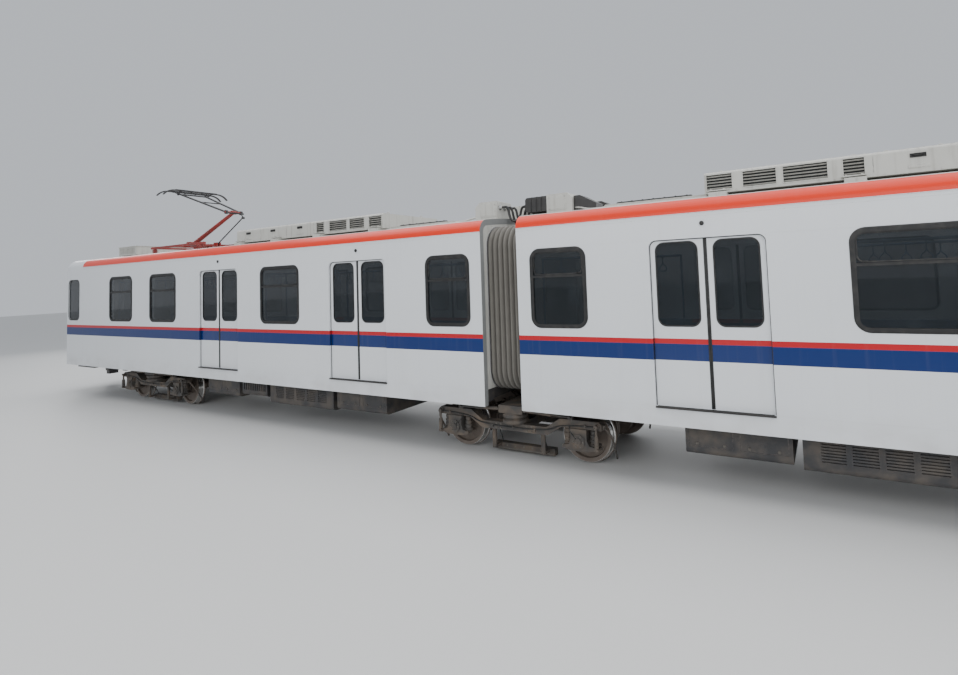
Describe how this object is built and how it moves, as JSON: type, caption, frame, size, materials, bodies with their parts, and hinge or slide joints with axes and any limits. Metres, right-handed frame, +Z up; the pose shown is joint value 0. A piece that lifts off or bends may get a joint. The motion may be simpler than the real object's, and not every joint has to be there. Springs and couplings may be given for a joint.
{
  "type": "articulated metro car",
  "caption": "Two-section articulated metro car with sliding doors, a folded gangway bellows, bogies with free wheelsets, a single-arm pantograph and louvred roof equipment.",
  "frame": {"origin": "under the articulation's pivot, level with the foot of the wheel flanges", "axes": "+X along the car towards the section without the pantograph, +Y across it, +Z up"},
  "size_m": [29.56, 2.7, 5.1802],
  "materials": {
    "body_white": "gloss",
    "door_paint": "gloss",
    "roof_gear_paint": "satin",
    "underframe_paint": "satin",
    "window_glass": "polished",
    "window_rubber": "matt",
    "bellows_rubber": "matt",
    "saloon_plastic": "satin",
    "cab_plastic": "matt",
    "floor_plate": "satin",
    "bogie_paint": "satin",
    "wheel_steel": "worn",
    "coupler_iron": "rough",
    "lamp_glass": "polished",
    "panto_red": "satin",
    "panto_black": "satin"
  },
  "bodies": {
    "section_a": {"side_near_a": "body_white", "side_far_a": "body_white", "roof_a": "body_white", "cab_front_a": "body_white", "inner_end_a": "roof_gear_paint", "windscreen_a": "window_glass", "window_panes_a": "window_glass", "window_frames_a": "window_rubber", "lamps_a": "lamp_glass", "saloon_a": "saloon_plastic", "cab_fittings_a": "cab_plastic", "cooling_unit_a": "roof_gear_paint", "resistor_box_a": "roof_gear_paint", "junction_boxes_a": "roof_gear_paint", "equipment_boxes_a": "underframe_paint", "coupler_a": "coupler_iron", "underframe_a": "underframe_paint", "bellows": "bellows_rubber", "jumper_cables": "window_rubber", "pantograph_base": "panto_red"},
    "section_b": {"side_near_b": "body_white", "side_far_b": "body_white", "roof_b": "body_white", "cab_front_b": "body_white", "inner_end_b": "roof_gear_paint", "windscreen_b": "window_glass", "window_panes_b": "window_glass", "window_frames_b": "window_rubber", "lamps_b": "lamp_glass", "saloon_b": "saloon_plastic", "cab_fittings_b": "cab_plastic", "cooling_unit_b": "roof_gear_paint", "resistor_box_b": "roof_gear_paint", "junction_boxes_b": "roof_gear_paint", "equipment_boxes_b": "underframe_paint", "coupler_b": "coupler_iron", "underframe_b": "underframe_paint"},
    "bogie_a": {"bogie_a": "bogie_paint"},
    "bogie_middle": {"bogie_middle": "bogie_paint", "turntable": "floor_plate"},
    "bogie_b": {"bogie_b": "bogie_paint"},
    "wheelset_1": {"wheelset_1": "wheel_steel"},
    "wheelset_2": {"wheelset_2": "wheel_steel"},
    "wheelset_3": {"wheelset_3": "wheel_steel"},
    "wheelset_4": {"wheelset_4": "wheel_steel"},
    "wheelset_5": {"wheelset_5": "wheel_steel"},
    "wheelset_6": {"wheelset_6": "wheel_steel"},
    "leaves_near_inner_a": {"leaves_near_inner_a": "door_paint"},
    "leaves_near_outer_a": {"leaves_near_outer_a": "door_paint"},
    "leaves_far_inner_a": {"leaves_far_inner_a": "door_paint"},
    "leaves_far_outer_a": {"leaves_far_outer_a": "door_paint"},
    "leaves_near_inner_b": {"leaves_near_inner_b": "door_paint"},
    "leaves_near_outer_b": {"leaves_near_outer_b": "door_paint"},
    "leaves_far_inner_b": {"leaves_far_inner_b": "door_paint"},
    "leaves_far_outer_b": {"leaves_far_outer_b": "door_paint"},
    "pantograph_lower_arm": {"pantograph_lower_arm": "panto_red"},
    "pantograph_upper_arm": {"pantograph_upper_arm": "panto_black"},
    "pantograph_rod": {"pantograph_rod": "panto_black"},
    "pantograph_head": {"pantograph_head": "panto_black"}
  },
  "joints": [
    {"name": "articulation", "type": "hinge", "parent": "section_a", "child": "section_b", "pos_m": [0, 0, 0.9], "axis": [0, 0, 1], "range_deg": [-23, 23], "deforming": ["bellows", "jumper_cables"]},
    {"name": "bogie_middle_yaw", "type": "hinge", "parent": "section_a", "child": "bogie_middle", "pos_m": [0, 0, 0.83], "axis": [0, 0, 1], "range_deg": [-11.5, 11.5]},
    {"name": "bogie_a_yaw", "type": "hinge", "parent": "section_a", "child": "bogie_a", "pos_m": [-10, 0, 0.83], "axis": [0, 0, 1], "range_deg": [-12, 12]},
    {"name": "bogie_b_yaw", "type": "hinge", "parent": "section_b", "child": "bogie_b", "pos_m": [10, 0, 0.83], "axis": [0, 0, 1], "range_deg": [-12, 12]},
    {"name": "wheelset_1_spin", "type": "hinge", "parent": "bogie_a", "child": "wheelset_1", "pos_m": [-11.05, 0, 0.398], "axis": [0, 1, 0], "continuous": true},
    {"name": "wheelset_2_spin", "type": "hinge", "parent": "bogie_a", "child": "wheelset_2", "pos_m": [-8.95, 0, 0.398], "axis": [0, 1, 0], "continuous": true},
    {"name": "wheelset_3_spin", "type": "hinge", "parent": "bogie_middle", "child": "wheelset_3", "pos_m": [-1.05, 0, 0.398], "axis": [0, 1, 0], "continuous": true},
    {"name": "wheelset_4_spin", "type": "hinge", "parent": "bogie_middle", "child": "wheelset_4", "pos_m": [1.05, 0, 0.398], "axis": [0, 1, 0], "continuous": true},
    {"name": "wheelset_5_spin", "type": "hinge", "parent": "bogie_b", "child": "wheelset_5", "pos_m": [8.95, 0, 0.398], "axis": [0, 1, 0], "continuous": true},
    {"name": "wheelset_6_spin", "type": "hinge", "parent": "bogie_b", "child": "wheelset_6", "pos_m": [11.05, 0, 0.398], "axis": [0, 1, 0], "continuous": true},
    {"name": "doors_near_inner_a", "type": "slide", "parent": "section_a", "child": "leaves_near_inner_a", "axis": [1, 0, 0], "range_m": [0, 0.65]},
    {"name": "doors_near_outer_a", "type": "slide", "parent": "section_a", "child": "leaves_near_outer_a", "axis": [-1, 0, 0], "range_m": [0, 0.65]},
    {"name": "doors_far_inner_a", "type": "slide", "parent": "section_a", "child": "leaves_far_inner_a", "axis": [1, 0, 0], "range_m": [0, 0.65]},
    {"name": "doors_far_outer_a", "type": "slide", "parent": "section_a", "child": "leaves_far_outer_a", "axis": [-1, 0, 0], "range_m": [0, 0.65]},
    {"name": "doors_near_inner_b", "type": "slide", "parent": "section_b", "child": "leaves_near_inner_b", "axis": [-1, 0, 0], "range_m": [0, 0.65]},
    {"name": "doors_near_outer_b", "type": "slide", "parent": "section_b", "child": "leaves_near_outer_b", "axis": [1, 0, 0], "range_m": [0, 0.65]},
    {"name": "doors_far_inner_b", "type": "slide", "parent": "section_b", "child": "leaves_far_inner_b", "axis": [-1, 0, 0], "range_m": [0, 0.65]},
    {"name": "doors_far_outer_b", "type": "slide", "parent": "section_b", "child": "leaves_far_outer_b", "axis": [1, 0, 0], "range_m": [0, 0.65]},
    {"name": "pantograph_fold", "type": "hinge", "parent": "section_a", "child": "pantograph_lower_arm", "pos_m": [-10.3, 0, 3.83], "axis": [0, 1, 0], "range_deg": [-10, 17]},
    {"name": "pantograph_knee", "type": "hinge", "parent": "pantograph_lower_arm", "child": "pantograph_upper_arm", "pos_m": [-8.57288, 0, 4.49298], "axis": [0, 1, 0], "range_deg": [-34, 20]},
    {"name": "pantograph_head_tilt", "type": "hinge", "parent": "pantograph_upper_arm", "child": "pantograph_head", "pos_m": [-10.32209, 0, 5.09528], "axis": [0, 1, 0], "range_deg": [-10, 17]},
    {"name": "pantograph_rod_turn", "type": "hinge", "parent": "section_a", "child": "pantograph_rod", "pos_m": [-9.4, 0, 3.79], "axis": [0, 1, 0], "range_deg": [-14.44, 24.55]}
  ],
  "couplings": [
    {"joint": "bogie_middle_yaw", "follows": "articulation", "ratio": 0.5},
    {"joint": "doors_near_outer_a", "follows": "doors_near_inner_a", "ratio": 1},
    {"joint": "doors_far_outer_a", "follows": "doors_far_inner_a", "ratio": 1},
    {"joint": "doors_near_outer_b", "follows": "doors_near_inner_b", "ratio": 1},
    {"joint": "doors_far_outer_b", "follows": "doors_far_inner_b", "ratio": 1},
    {"joint": "pantograph_knee", "follows": "pantograph_fold", "ratio": -2},
    {"joint": "pantograph_head_tilt", "follows": "pantograph_fold", "ratio": 1},
    {"joint": "pantograph_rod_turn", "follows": "pantograph_fold", "ratio": 1.4442}
  ]
}
